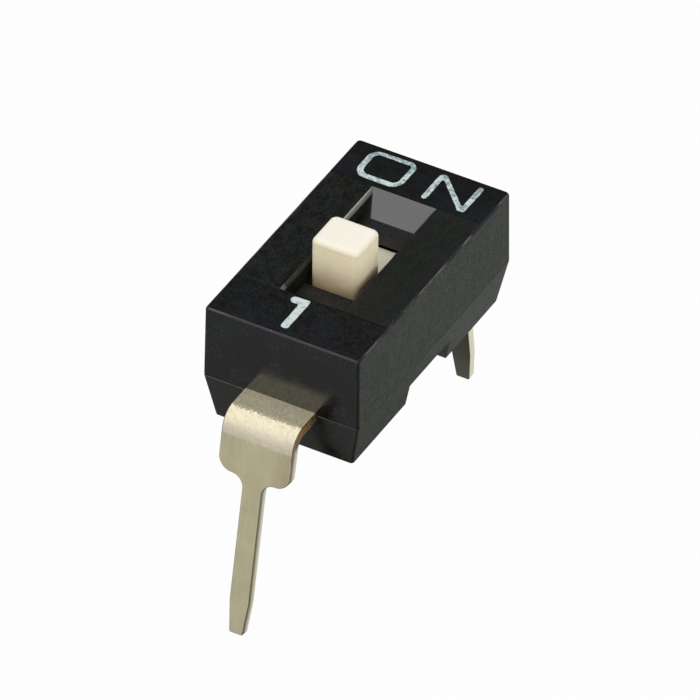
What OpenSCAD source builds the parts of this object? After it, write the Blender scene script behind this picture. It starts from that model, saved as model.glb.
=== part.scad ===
// A one-position slide switch for a circuit board. A cover with a slot closes a base, two bent
// terminals leave at the parting line, and a slider with a knob carries the contact spring between
// them. The origin is on the board, under the middle of the base. The slide direction is Y, with ON
// at +Y, and Z is up. The slider is drawn in its OFF position.

/* [Housing] */
// Width of the housing across the slide direction, at the parting line
body_w = 3.42; // [2.8:0.02:6]
// Length of the housing along the slide direction, at the parting line
body_l = 6.06; // [5.4:0.05:10]
// Height of the base, from the board to the parting line
base_h = 1.02; // [0.84:0.02:2]
// Height of the cover, from the parting line to its top
cover_h = 1.66; // [1.38:0.02:3]
// How far each long side of the base leans in by the time it reaches the board
side_draft = 0.19; // [0:0.01:0.3]
// How far each end of the base leans in by the time it reaches the board
end_draft = 0.14; // [0:0.01:0.3]
// How far each side of the cover leans in at its top
cover_draft = 0.02; // [0:0.01:0.06]
// Radius of the housing's upright corners
corner_r = 0.07; // [0.06:0.01:0.3]
// Radius of the cover's top edges
top_edge_r = 0.05; // [0.02:0.01:0.1]
// Length, along the slide direction, of the groove across the underside
groove_l = 1.6; // [0.8:0.02:2.4]
// Height of the groove across the underside
groove_h = 0.49; // [0.2:0.01:0.6]

/* [Slot in the cover] */
// Depth from the cover's top down to the shelves at the slot's ends
slot_depth = 0.4; // [0.2:0.01:0.6]
// How far each long wall of the slot leans in at the shelves
slot_draft = 0.03; // [0:0.01:0.06]
// Width of the chamfer along each long edge of the slot
chamfer_w = 0.06; // [0:0.005:0.12]
// Depth of the chamfer along each long edge of the slot
chamfer_h = 0.08; // [0.02:0.01:0.18]
// Length of the sloped ramp at each end of the slot
ramp_l = 0.45; // [0.1:0.01:0.6]
// Length of the flat shelf between each ramp and the opening
shelf_l = 0.37; // [0.2:0.01:0.6]
// Thickness of the shelves
shelf_t = 0.23; // [0.15:0.01:0.4]

/* [Slider] */
// How far the slider moves from OFF to ON
travel = 1.04; // [0.6:0.02:1.3]
// Width of the knob
knob_w = 1.04; // [0.6:0.01:1.4]
// Length of the knob along the slide direction
knob_l = 0.92; // [0.5:0.01:1.2]
// How far the knob stands above the cover
knob_rise = 0.72; // [0.2:0.01:1.2]
// Radius of the knob's edges
knob_edge_r = 0.07; // [0.02:0.01:0.12]
// Thickness of the plate under the shelves
plate_t = 0.26; // [0.15:0.01:0.35]
// Width of the plate under the shelves
plate_w = 1.9; // [1.7:0.02:2.1]
// Thickness of the two runners under the plate
runner_t = 0.18; // [0.1:0.01:0.22]
// Length of the two runners under the plate
runner_l = 2.2; // [1.2:0.1:2.8]

/* [Terminals] */
// Width of a terminal where it leaves the housing
lead_w = 1.57; // [1.3:0.01:1.9]
// Thickness of the terminal strip
lead_t = 0.22; // [0.15:0.01:0.3]
// How far the terminals' top stands above the parting line
lead_rise = 0.04; // [0.02:0.01:0.1]
// Level run from the housing's end face to the bend
lead_reach = 0.465; // [0.2:0.005:1.2]
// Inner radius of the bend
bend_r = 0.215; // [0.1:0.005:0.4]
// Angle by which the leg at the OFF end spreads outward
off_splay = 11; // [0:0.1:15]
// Angle by which the leg at the ON end spreads outward
on_splay = 8.4; // [0:0.1:15]
// Length of the wide shank below the bend
shank_l = 0.89; // [0.7:0.01:2]
// Radius of the shank's lower corners
shoulder_r = 0.31; // [0.1:0.01:0.36]
// Radius of the fillet between the shank and the pin
root_r = 0.26; // [0.05:0.01:0.3]
// Width of the pin
pin_w = 0.425; // [0.3:0.005:0.55]
// Width of the pin's tip
tip_w = 0.29; // [0.2:0.01:0.5]
// Length of the tapered tip
tip_l = 0.71; // [0.2:0.01:1]
// Length of the leg from the bend to the tip
lead_l = 4.34; // [3:0.02:8]
// Width of the contact pads inside the housing
pad_w = 1.2; // [1:0.02:1.4]

/* [Contact spring] */
// Thickness of the spring strip
spring_t = 0.08; // [0.05:0.01:0.12]
// Width of the spring strip
spring_w = 1.1; // [0.8:0.02:1.3]
// Distance between the spring's two feet
foot_pitch = 1.4; // [1.2:0.02:1.6]
// Radius of the foot, at the middle of the strip
foot_r = 0.14; // [0.1:0.01:0.18]
// Length of the flat middle of the spring
spring_flat_l = 0.6; // [0.4:0.02:0.7]
// Width of the split between the two fingers of each foot
finger_gap = 0.16; // [0.08:0.01:0.3]
// Radius of the slider's post that holds the spring
post_r = 0.14; // [0.08:0.01:0.16]

/* [Cover pegs] */
// Radius of the pegs that hold the cover on the base
peg_r = 0.14; // [0.08:0.01:0.16]
// Length of the pegs below the parting line
peg_l = 0.36; // [0.2:0.02:0.5]
// Distance from the housing's sides to the pegs' centres
peg_inset = 0.4; // [0.38:0.01:0.45]

/* [Legends] */
// Height of the letters of the word ON
letter_h = 0.84; // [0.6:0.02:0.9]
// Width of each letter of the word ON
letter_w = 0.98; // [0.6:0.02:1.1]
// Space between the letters of the word ON
letter_gap = 0.5; // [0.2:0.02:0.6]
// Height of the number
number_h = 0.94; // [0.6:0.02:1]
// Width of the number, over its flag
number_w = 0.4; // [0.3:0.02:0.6]
// Width of the printed strokes of the word ON
letter_stroke = 0.13; // [0.08:0.01:0.2]
// Width of the printed stroke of the number
number_stroke = 0.19; // [0.1:0.01:0.24]
// Distance from the housing's end to the letters of the word ON
letter_margin = 0.19; // [0.1:0.01:0.3]
// Distance from the housing's end to the number
number_margin = 0.22; // [0.1:0.01:0.3]
// How far the number's upright stroke stands left of the middle
number_shift = 0.07; // [0:0.01:0.3]
// Thickness of the print
print_t = 0.02; // [0.01:0.005:0.04]

/* [Clearances] */
// Gap between each side of the knob and the slot at the shelves
knob_side_gap = 0.1; // [0.05:0.01:0.15]
// Gap between the knob and the end of the opening at the end of its travel
knob_end_gap = 0.02; // [0.01:0.01:0.2]
// How far the plate still reaches under a shelf at the end of its travel
plate_lap = 0; // [0:0.01:0.2]
// Gap between the plate and the shelves above it
plate_gap = 0.06; // [0.02:0.01:0.1]
// Gap between the slider and the cavity's walls
cavity_gap = 0.05; // [0.03:0.01:0.1]
// Gap between the runners and the base
runner_gap = 0.03; // [0.02:0.01:0.06]
// Gap between the base's raised floor and the cavity's walls
floor_gap = 0.02; // [0.01:0.01:0.04]
// Gap all round a peg or post in its hole
peg_gap = 0.02; // [0.01:0.01:0.04]
// Gap all round a terminal in its notch in the cover
notch_gap = 0.02; // [0.01:0.01:0.05]
// Gap between the spring's feet and the pads
foot_gap = 0.02; // [0.01:0.01:0.04]

/* [Hidden] */
$fn = 48;

// Extra depth by which a cutting shape passes the face that it cuts
cut = 0.2;
// Height of the thin slices that a drafted shell is stretched between
slice = 0.01;
// Steps in a quarter circle where a hull or a ribbon follows an arc
arc_steps = 5;

// Heights above the board
top_z = base_h + cover_h;
shelf_top_z = top_z - slot_depth;
shelf_z = shelf_top_z - shelf_t;
plate_top_z = shelf_z - plate_gap;
plate_z = plate_top_z - plate_t;
knob_top_z = top_z + knob_rise;
lead_top_z = base_h + lead_rise;

// Slot, opening and cavity, worked out from the slider that runs in them
slot_floor_w = knob_w + 2 * knob_side_gap;
slot_rim_w = slot_floor_w + 2 * slot_draft;
opening_l = knob_l + travel + 2 * knob_end_gap;
shelves_l = opening_l + 2 * shelf_l;
slot_l = shelves_l + 2 * ramp_l;
plate_l = opening_l + travel + 2 * plate_lap;
cavity_l = plate_l + travel + 2 * cavity_gap;
cavity_w = plate_w + 2 * cavity_gap;
off_y = -travel / 2;

// Terminals
bend_out_r = bend_r + lead_t;
bend_y = body_l / 2 + lead_reach;
bend_z = lead_top_z - bend_out_r;
off_pad_y = 0;
on_pad_y = foot_pitch / 2;

// Middles of the two legends along the housing
letters_y = body_l / 2 - letter_margin - letter_h / 2;
number_y = number_margin + number_h / 2 - body_l / 2;

housing_colour = [0.16, 0.17, 0.16];
metal_colour = [0.66, 0.64, 0.54];
knob_colour = [0.95, 0.93, 0.88];
spring_colour = [0.83, 0.68, 0.32];
print_colour = [0.84, 0.89, 0.88];

// A rounded rectangle centred on the origin, made of true arcs
module rounded_rect(w, l, r) {
    square([w - 2 * r, l], center = true);
    square([w, l - 2 * r], center = true);
    for (x = [-1, 1], y = [-1, 1])
        translate([x * (w / 2 - r), y * (l / 2 - r)]) circle(r);
}

// A thin rounded slab at height z, smaller than the housing by side_inset and end_inset
module housing_slice(z, side_inset, end_inset) {
    translate([0, 0, z])
        linear_extrude(slice)
            rounded_rect(body_w - 2 * side_inset, body_l - 2 * end_inset, corner_r);
}

// A block of w by l centred in plan, from height z0 up to height z1
module block(w, l, z0, z1) {
    translate([-w / 2, -l / 2, z0]) cube([w, l, z1 - z0]);
}

// Four copies of its children at the places of the pegs
module at_pegs() {
    for (x = [-1, 1], y = [-1, 1])
        translate([x * (body_w / 2 - peg_inset), y * (body_l / 2 - peg_inset), 0]) children();
}

// The level part of a terminal, towards +Y: a pad from pad_y to the cavity's end, then the full width
module level_run(pad_y, end_y, z0, z1) {
    translate([-pad_w / 2, pad_y, z0]) cube([pad_w, cavity_l / 2 - pad_y, z1 - z0]);
    translate([-lead_w / 2, cavity_l / 2, z0]) cube([lead_w, end_y - cavity_l / 2, z1 - z0]);
}

// The base is moulded round the terminals, so each pocket is the terminal's own size
module base() {
    pocket_z = lead_top_z - lead_t;
    end_y = body_l / 2 + cut;
    color(housing_colour) difference() {
        union() {
            hull() {
                housing_slice(0, side_draft, end_draft);
                housing_slice(base_h - slice, 0, 0);
            }
            block(cavity_w - 2 * floor_gap, cavity_l - 2 * floor_gap, base_h / 2, lead_top_z);
        }
        block(body_w + cut, groove_l, -cut, groove_h);
        mirror([0, 1, 0]) level_run(off_pad_y, end_y, pocket_z, lead_top_z + cut);
        level_run(on_pad_y, end_y, pocket_z, lead_top_z + cut);
        at_pegs() translate([0, 0, base_h - peg_l - peg_gap]) cylinder(r = peg_r + peg_gap, h = base_h);
    }
}

// Outline of the slot across its width: drafted walls with a chamfer at the rim
module slot_section() {
    right = [
        [slot_floor_w / 2, shelf_top_z],
        [slot_rim_w / 2, top_z - chamfer_h],
        [slot_rim_w / 2 + chamfer_w, top_z],
        [slot_rim_w / 2 + chamfer_w, top_z + cut],
    ];
    polygon(concat(right, [for (i = [len(right) - 1:-1:0]) [-right[i][0], right[i][1]]]));
}

// Outline of the slot along its length: a ramp down to a shelf at each end
module slot_profile() {
    far = [
        [shelves_l / 2, shelf_top_z],
        [slot_l / 2, top_z],
        [slot_l / 2, top_z + cut],
    ];
    polygon(concat(far, [for (i = [len(far) - 1:-1:0]) [-far[i][0], far[i][1]]]));
}

module cover() {
    color(housing_colour) {
        difference() {
            hull() {
                housing_slice(base_h, 0, 0);
                for (i = [0:arc_steps]) {
                    a = 90 * i / arc_steps;
                    inset = cover_draft + top_edge_r * (1 - cos(a));
                    housing_slice(top_z - slice - top_edge_r * (1 - sin(a)), inset, inset);
                }
            }
            intersection() {
                rotate([90, 0, 0]) linear_extrude(slot_l + 2 * cut, center = true) slot_section();
                rotate([90, 0, 90]) linear_extrude(body_w, center = true) slot_profile();
            }
            block(slot_floor_w, opening_l, base_h, top_z);
            block(cavity_w, cavity_l, base_h - cut, shelf_z);
            block(lead_w + 2 * notch_gap, body_l + cut, base_h - cut, lead_top_z);
        }
        at_pegs() translate([0, 0, base_h - peg_l]) cylinder(r = peg_r, h = peg_l + slice);
    }
}

// Outline of a leg seen from its flat side, from the bend at the top down to the tip
module leg_outline() {
    shoulder_x = lead_w / 2 - shoulder_r;
    fillet_r = min(root_r, shoulder_x - pin_w / 2);
    translate([-lead_w / 2, shoulder_r - shank_l]) square([lead_w, shank_l - shoulder_r]);
    translate([-shoulder_x, -shank_l]) square([2 * shoulder_x, shank_l]);
    for (x = [-1, 1]) {
        translate([x * shoulder_x, shoulder_r - shank_l]) circle(shoulder_r);
        difference() {
            translate([x * (pin_w + fillet_r) / 2, -shank_l - fillet_r / 2])
                square(fillet_r, center = true);
            translate([x * (pin_w / 2 + fillet_r), -shank_l - fillet_r]) circle(fillet_r);
        }
    }
    polygon([
        [-pin_w / 2, -shank_l / 2], [pin_w / 2, -shank_l / 2],
        [pin_w / 2, tip_l - lead_l], [tip_w / 2, -lead_l],
        [-tip_w / 2, -lead_l], [-pin_w / 2, tip_l - lead_l],
    ]);
}

// A terminal towards +Y, with its pad starting at pad_y and its leg spread by angle splay
module terminal(pad_y, splay) {
    level_run(pad_y, bend_y, lead_top_z - lead_t, lead_top_z);
    translate([0, bend_y, bend_z]) {
        rotate([0, 90, 0]) rotate([0, 0, 90 + splay])
            rotate_extrude(angle = 90 - splay)
                translate([bend_r, -lead_w / 2]) square([lead_t, lead_w]);
        rotate([splay, 0, 0])
            translate([0, bend_out_r, 0])
                rotate([90, 0, 0]) linear_extrude(lead_t) leg_outline();
    }
}

module off_terminal() {
    color(metal_colour) mirror([0, 1, 0]) terminal(off_pad_y, off_splay);
}

module on_terminal() {
    color(metal_colour) terminal(on_pad_y, on_splay);
}

// The knob, with rounded upright and top edges, standing on the plate
module knob() {
    hull() {
        for (i = [0:arc_steps]) {
            a = 90 * i / arc_steps;
            inset = knob_edge_r * (1 - cos(a));
            foot_z = i == 0 ? plate_z : knob_top_z - knob_edge_r;
            translate([0, 0, foot_z])
                linear_extrude(knob_top_z - knob_edge_r * (1 - sin(a)) - foot_z)
                    rounded_rect(knob_w - 2 * inset, knob_l - 2 * inset, knob_edge_r);
        }
    }
}

module slider() {
    runner_z = lead_top_z + runner_gap;
    color(knob_colour) translate([0, off_y, 0]) {
        block(plate_w, plate_l, plate_z, plate_top_z);
        knob();
        for (x = [-1, 1])
            translate([x * (plate_w - runner_t) / 2, 0, 0]) block(runner_t, runner_l, runner_z, plate_z);
        translate([0, 0, plate_z - 2 * spring_t]) cylinder(r = post_r, h = 2 * spring_t + slice);
    }
}

// The middle line of half the spring, from the flat under the plate to the turned-up toe
function half_spring() = concat(
    [[0, plate_z - spring_t / 2], [spring_flat_l / 2, plate_z - spring_t / 2]],
    [for (a = [210:10:340])
        [foot_pitch / 2, lead_top_z + foot_gap + spring_t / 2 + foot_r] + foot_r * [cos(a), sin(a)]]);

// The direction across a line of points at point i
function across(points, i) =
    let (step = points[min(i + 1, len(points) - 1)] - points[max(i - 1, 0)])
    [-step[1], step[0]] / norm(step);

// The outline of a strip of thickness t that follows a line of points
function strip(points, t) = concat(
    [for (i = [0:len(points) - 1]) points[i] + across(points, i) * t / 2],
    [for (i = [len(points) - 1:-1:0]) points[i] - across(points, i) * t / 2]);

module contact_spring() {
    outline = strip(half_spring(), spring_t);
    color(spring_colour) translate([0, off_y, 0]) difference() {
        for (side = [0, 1])
            mirror([0, side, 0])
                rotate([90, 0, 90]) linear_extrude(spring_w, center = true) polygon(outline);
        for (side = [-1, 1])
            translate([0, side * (spring_flat_l + foot_pitch) / 2, 0])
                block(finger_gap, foot_pitch, base_h, plate_z - spring_t - slice);
        translate([0, 0, base_h]) cylinder(r = post_r + peg_gap, h = cover_h);
    }
}

// Outline of the letter N: two upright bars joined by a diagonal from top left to bottom right
module letter_n() {
    x = letter_w / 2;
    y = letter_h / 2;
    diagonal_w = 1.5 * letter_stroke;
    crossing_y = y - 2 * y * (2 * x - diagonal_w - letter_stroke) / (2 * x - diagonal_w);
    half = [
        [-x, -y], [-x, y], [diagonal_w - x, y],
        [x - letter_stroke, crossing_y], [x - letter_stroke, y],
    ];
    polygon(concat(half, [for (point = half) -point]));
}

// Outline of the letter O: a ring with rounded corners
module letter_o() {
    difference() {
        rounded_rect(letter_w, letter_h, 1.4 * letter_stroke);
        rounded_rect(letter_w - 2 * letter_stroke, letter_h - 2 * letter_stroke, letter_stroke / 2);
    }
}

// The word ON, upright for a reader at -Y
module on_legend() {
    letter_x = (letter_w + letter_gap) / 2;
    color(print_colour) translate([0, letters_y, top_z]) linear_extrude(print_t) {
        translate([-letter_x, 0]) letter_o();
        translate([letter_x, 0]) letter_n();
    }
}

// The position number, upright for a reader at -Y
module number_legend() {
    end_r = number_stroke / 2;
    flag_l = number_w - number_stroke;
    color(print_colour) translate([-number_shift, number_y, top_z]) linear_extrude(print_t) union() {
        translate([-end_r, -number_h / 2]) square([number_stroke, number_h]);
        translate([-flag_l, number_h / 2 - number_stroke]) square([flag_l, number_stroke]);
        translate([-flag_l, number_h / 2 - end_r]) circle(end_r);
    }
}

base();
cover();
off_terminal();
on_terminal();
slider();
contact_spring();
on_legend();
number_legend();
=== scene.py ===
# %% [markdown]
# # A one-position slide switch for a circuit board
# The real switch is a black moulded housing in two halves, an ivory slider with a knob, two plated
# metal terminals and a little pale print. Each piece gets its own step below: what it is on the real
# object, how it could be made, and why it is made the way it is here.
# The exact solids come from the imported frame, in metres, with the origin on the board under the
# middle of the base, the slide direction along Y and Z up. Nothing in the frame is moved. Where a
# solid is right but too plain, a finer piece is built in the same place and stands for it.

# %% Load the frame
import math

import bmesh
import bpy
from mathutils import Matrix, Vector, noise


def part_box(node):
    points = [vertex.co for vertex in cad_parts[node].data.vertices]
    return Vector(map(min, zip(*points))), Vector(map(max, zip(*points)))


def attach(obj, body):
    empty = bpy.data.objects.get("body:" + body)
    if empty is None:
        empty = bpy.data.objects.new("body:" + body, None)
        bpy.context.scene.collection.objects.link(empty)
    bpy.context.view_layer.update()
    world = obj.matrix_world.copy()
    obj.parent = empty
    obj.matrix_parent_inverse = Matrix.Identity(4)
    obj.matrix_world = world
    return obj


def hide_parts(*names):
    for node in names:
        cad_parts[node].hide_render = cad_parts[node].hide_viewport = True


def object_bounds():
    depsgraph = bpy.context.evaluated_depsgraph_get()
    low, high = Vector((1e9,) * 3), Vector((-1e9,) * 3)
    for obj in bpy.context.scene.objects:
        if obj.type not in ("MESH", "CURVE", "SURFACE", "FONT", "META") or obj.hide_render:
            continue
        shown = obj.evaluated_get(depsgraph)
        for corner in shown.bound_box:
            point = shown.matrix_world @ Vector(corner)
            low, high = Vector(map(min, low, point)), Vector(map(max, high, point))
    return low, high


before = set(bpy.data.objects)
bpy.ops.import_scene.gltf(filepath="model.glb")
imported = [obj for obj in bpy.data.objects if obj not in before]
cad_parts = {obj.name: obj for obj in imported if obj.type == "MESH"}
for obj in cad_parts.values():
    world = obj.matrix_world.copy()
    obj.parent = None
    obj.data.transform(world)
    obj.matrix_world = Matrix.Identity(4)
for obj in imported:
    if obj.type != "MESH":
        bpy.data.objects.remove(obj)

cad_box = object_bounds()
MM = 0.001  # one millimetre, in metres
print("CAD box in mm:", [[round(v / MM, 3) for v in corner] for corner in cad_box])

# %% [markdown]
# ## The camera
# A small part like this is usually taken from far away with a long lens, so that its parallel edges
# stay almost parallel. The camera could be placed by eye, but a direction and a distance are easier
# to reason about: an angle round the switch, an angle above the table, and a small roll.
# The two offsets slide the camera sideways and down, so no lens shift is needed.

# %% Camera
camera_turn = math.radians(28.859)
camera_rise = math.radians(39.289)
camera_roll = math.radians(0.662)
camera_distance = 228.475 * MM
camera_offset = Vector((-0.1472, -0.6649)) * MM
camera_aim = Vector((0, 0, 1.02)) * MM

towards_camera = Vector((
    math.sin(camera_turn) * math.cos(camera_rise),
    -math.cos(camera_turn) * math.cos(camera_rise),
    math.sin(camera_rise),
))
level_right = Vector((math.cos(camera_turn), math.sin(camera_turn), 0))
level_up = towards_camera.cross(level_right)
right = math.cos(camera_roll) * level_right + math.sin(camera_roll) * level_up
up = towards_camera.cross(right)

camera = bpy.data.objects.new("camera", bpy.data.cameras.new("camera"))
camera.data.sensor_width = 36
camera.data.lens = 608.0
camera.data.clip_start, camera.data.clip_end = 0.01, 10
place = camera_aim + towards_camera * camera_distance + right * camera_offset.x + up * camera_offset.y
axes = Matrix((right, up, towards_camera)).transposed()
camera.matrix_world = Matrix.Translation(place) @ axes.to_4x4()
bpy.context.scene.collection.objects.link(camera)
bpy.context.scene.camera = camera
print("camera at", [round(v / MM, 1) for v in place], "mm")

# %% [markdown]
# ## Shader maths as plain expressions
# A finish is a graph of nodes, and wiring each Math node by hand hides what the graph says.
# A Signal wraps one output socket, so that `1 - mask` or `grain * 0.2 + 0.4` adds the nodes by
# itself. Colours and vectors never pass through a Math node, because it would turn them grey: they
# have `mix` and `stretched` instead. One method, `node`, makes every node there is.

# %% Signal: a socket that can be calculated with
class Signal:
    """One output socket of a shader node, which behaves like a number in an expression."""

    def __init__(self, finish, socket):
        self.finish = finish
        self.socket = socket

    def maths(self, operation, first, second=0.0):
        """Adds a Math node and gives its result."""
        return self.finish.node("Math", {"operation": operation}, {0: first, 1: second})

    def __add__(self, other):
        return self.maths("ADD", self, other)

    def __sub__(self, other):
        return self.maths("SUBTRACT", self, other)

    def __rsub__(self, other):
        return self.maths("SUBTRACT", other, self)

    def __mul__(self, other):
        return self.maths("MULTIPLY", self, other)

    def __or__(self, other):
        """Either mask, which is the larger of the two."""
        return self.maths("MAXIMUM", self, other)

    def __abs__(self):
        return self.maths("ABSOLUTE", self)

    __radd__ = __add__
    __rmul__ = __mul__

    def output(self, name):
        """Another output of the node that this signal comes from."""
        return Signal(self.finish, self.socket.node.outputs[name])

    def between(self, low, high):
        """0 up to low, 1 from high on, and a smooth step between them."""
        return self.finish.node(
            "MapRange", {"interpolation_type": "SMOOTHSTEP"},
            {"Value": self, "From Min": low, "From Max": high})


print("signals can be added, subtracted, multiplied, joined with | and stepped with between()")

# %% [markdown]
# A Finish is the material those signals live in. Blender could fill its node tree with a long list
# of calls, but then the links are hard to follow. Here every helper adds a node and gives back its
# output, so a finish reads from its pattern to its shader like a recipe.

# %% Finish: a material that grows node by node
class Finish:
    """A material, with one method that adds any node to it."""

    def __init__(self, name):
        self.material = bpy.data.materials.new(name)
        self.material.use_nodes = True
        self.tree = self.material.node_tree
        self.tree.nodes.clear()

    def node(self, kind, settings=None, sockets=None, output=0):
        """Adds a node: its settings come first, then the values or links of its sockets."""
        made = self.tree.nodes.new("ShaderNode" + kind)
        for name, value in (settings or {}).items():
            setattr(made, name, value)
        for name, value in (sockets or {}).items():
            if isinstance(value, Signal):
                self.tree.links.new(value.socket, made.inputs[name])
            else:
                made.inputs[name].default_value = value
        return Signal(self, made.outputs[output]) if made.outputs else made

    def millimetres(self):
        """The point on the piece, in millimetres of the shared frame."""
        point = self.node("TexCoord", output="Object")
        return self.node("VectorMath", {"operation": "SCALE"}, {0: point, "Scale": 1 / MM})

    def parts(self, vector):
        """The three numbers of a vector, as three signals."""
        x = self.node("SeparateXYZ", sockets={0: vector})
        return x, x.output("Y"), x.output("Z")

    def stretched(self, vector, scales):
        """The vector with each of its parts scaled on its own."""
        return self.node("VectorMath", {"operation": "MULTIPLY"}, {0: vector, 1: scales})

    def speckle(self, vector, per_mm, detail=2.0, rough=0.5):
        """Soft noise from 0 to 1 with about per_mm patches in each millimetre."""
        return self.node("TexNoise", sockets={
            "Vector": vector, "Scale": per_mm, "Detail": detail, "Roughness": rough})

    def mix(self, mask, colour, other):
        """The first colour where the mask is 0, and the other where it is 1."""
        return self.node("Mix", {"data_type": "RGBA"}, {0: mask, 6: colour, 7: other}, output=2)

    def bump(self, height, distance_mm):
        """Relief that stands distance_mm high where the height is 1."""
        return self.node("Bump", sockets={"Distance": distance_mm * MM, "Height": height})

    def done(self, **sockets):
        """Ends the material with its shader, and says how many nodes it took."""
        shader = self.node("BsdfPrincipled", sockets={
            name.replace("_", " "): value for name, value in sockets.items()})
        self.node("OutputMaterial", sockets={"Surface": shader})
        print(self.material.name, "has", len(self.tree.nodes), "nodes")
        return self.material


def colour(red, green, blue):
    """A colour given as it looks on screen, from 0 to 255, as the linear numbers that a shader takes."""
    screen = [value / 255 for value in (red, green, blue)]
    return [*(v / 12.92 if v <= 0.04045 else ((v + 0.055) / 1.055) ** 2.4 for v in screen), 1.0]


print("middle grey 188 is", round(colour(188, 188, 188)[0], 2), "to a shader")

# %% [markdown]
# ## The table and the light
# The switch stands on its two pin tips on a plain pale table. The polished black end would mirror so
# much of it that the terminal's own image drowns in white. In a studio a grey card is laid in front
# for that, and so it is here. It reaches from under the switch to the front left, and only mirror
# images and bounced light know of it, not the camera. Under the switch it is a grey sheet standing in
# for the switch's own shade on the table, which the inner faces of the legs mirror.

# %% Table and card
table_z = cad_box[0].z
table_reach = 1.5  # metres to each side
table_glow = 0.98  # share of the table that shows as plain white
card_grey = colour(166, 166, 164)
# Under the switch the card is a grey sheet standing in for the switch's shade on the table.
card_x, card_y = (-30 * MM, 3 * MM), (-40 * MM, 3.9 * MM)
card_lift = 0.01 * MM


def flat_sheet(name, x, y, z):
    """A flat sheet between two values along X and two along Y."""
    corners = [(x[0], y[0], z), (x[1], y[0], z), (x[1], y[1], z), (x[0], y[1], z)]
    mesh = bpy.data.meshes.new(name)
    mesh.from_pydata(corners, [], [(0, 1, 2, 3)])
    sheet = bpy.data.objects.new(name, mesh)
    bpy.context.scene.collection.objects.link(sheet)
    return sheet


table = flat_sheet("table", (-table_reach, table_reach), (-table_reach, table_reach), table_z)
card = flat_sheet("grey_card", card_x, card_y, table_z + card_lift)
card.visible_camera = False
card.visible_shadow = False
card_sides = [round((high - low) / MM, 1) for low, high in (card_x, card_y)]
print("table at", round(table_z / MM, 2), "mm, card of", card_sides, "mm")

# %% [markdown]
# A white table could come from more light, but then the ivory knob would burn out. Here the camera,
# and anything that mirrors the table, sees it almost as plain white and a little as it is lit, which
# keeps the soft shadow. The light that bounces off it stays that of pale grey card.

# %% Their finishes
paper = Finish("white table")
ray = paper.node("LightPath", output="Is Camera Ray")
seen = ray | ray.output("Is Glossy Ray") | ray.output("Is Transmission Ray")
lit = paper.node("BsdfDiffuse", sockets={"Color": card_grey})
white = paper.node("Emission", sockets={"Color": (1, 1, 1, 1), "Strength": 1.0})
shown = paper.node("MixShader", sockets={0: seen * table_glow, 1: lit, 2: white})
paper.node("OutputMaterial", sockets={"Surface": shown})
table.data.materials.append(paper.material)

grey = Finish("grey card")
dull = grey.node("BsdfDiffuse", sockets={"Color": card_grey})
grey.node("OutputMaterial", sockets={"Surface": dull})
card.data.materials.append(grey.material)
print("the table shows", table_glow, "of plain white")

# %% [markdown]
# Four soft boxes light the switch. The key hangs in front on the left. It is tall, so that the whole
# bend of the metal, the ramp in the slot and the mirror image of the terminal pick it up. The
# overhead light carries that highlight over the top of the bend and whitens the knob. The fill
# stands in front on the right, for the knob's other side. The rim light is low behind on the right
# and draws the thin lines along the chamfers and edges. A lamp's energy is spread over its area, so
# each lamp is given by how bright its face looks.

# %% Lamps
def soft_box(name, direction, distance, width, height, brightness):
    """A lamp that faces the switch from a direction, with a face of the given brightness."""
    lamp = bpy.data.lights.new(name, "AREA")
    lamp.shape = "RECTANGLE"
    lamp.size, lamp.size_y = width, height
    lamp.energy = brightness * math.pi * width * height
    holder = bpy.data.objects.new(name, lamp)
    aim = Vector(direction).normalized()
    holder.location = camera_aim + aim * distance
    holder.rotation_mode = "QUATERNION"
    holder.rotation_quaternion = aim.to_track_quat("Z", "Y")
    holder.visible_camera = False
    bpy.context.scene.collection.objects.link(holder)
    print(name, "gives", round(lamp.energy, 4), "W")


soft_box("key light", (-0.38, -0.64, 0.66), distance=0.15, width=0.088, height=0.145, brightness=2.4)
soft_box("overhead light", (-0.37, 0.02, 0.93), distance=0.16, width=0.1, height=0.1, brightness=2.3)
soft_box("fill light", (0.72, -0.42, 0.55), distance=0.16, width=0.12, height=0.12, brightness=2.3)
soft_box("rim light", (0.70, 0.68, 0.20), distance=0.16, width=0.052, height=0.052, brightness=8.0)

# %% [markdown]
# The rest of the room is an even grey. It could be a picture of a studio all round, but an even grey
# is enough to keep the shaded sides from going black, and the boxes alone then shape the switch.

# %% Room
room_grey = 0.36
room = bpy.data.worlds.new("room")
room.use_nodes = True
room.node_tree.nodes["Background"].inputs["Color"].default_value = (room_grey, room_grey, room_grey, 1)
bpy.context.scene.world = room
bpy.context.scene.view_settings.view_transform = "Standard"
print("room grey is", room_grey)

# %% [markdown]
# ## Tools for building in millimetres
# Blender's cutting and bevelling tools like numbers near one, so each piece is modelled in
# millimetres and brought down to metres at the very end. A closed solid through a stack of rings
# covers almost every shape here: prisms, drafted shells, rounded blocks and letters.

# %% Rings and lofts
def outline_of_block(width, length, radius, steps=8):
    """A rectangle with rounded corners, counter-clockwise from its right side."""
    points = []
    for quarter, (sign_x, sign_y) in enumerate([(1, 1), (-1, 1), (-1, -1), (1, -1)]):
        for step in range(steps + 1):
            angle = math.pi / 2 * (quarter + step / steps)
            points.append((
                sign_x * (width / 2 - radius) + radius * math.cos(angle),
                sign_y * (length / 2 - radius) + radius * math.sin(angle)))
    return points


def loft(name, rings, closed=False):
    """A solid through rings of equally many points, capped at its ends unless it closes on itself."""
    count, layers = len(rings[0]), len(rings)
    faces = []
    for layer in range(layers if closed else layers - 1):
        low, high = layer * count, (layer + 1) % layers * count
        for i in range(count):
            j = (i + 1) % count
            faces.append((low + i, low + j, high + j, high + i))
    if not closed:
        faces += [tuple(range(count))[::-1], tuple(range((layers - 1) * count, layers * count))]
    mesh = bpy.data.meshes.new(name)
    mesh.from_pydata([point for ring in rings for point in ring], [], faces)
    piece = bpy.data.objects.new(name, mesh)
    bpy.context.scene.collection.objects.link(piece)
    return piece


print("a rounded outline has", len(outline_of_block(1, 1, 0.1)), "points")

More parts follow.
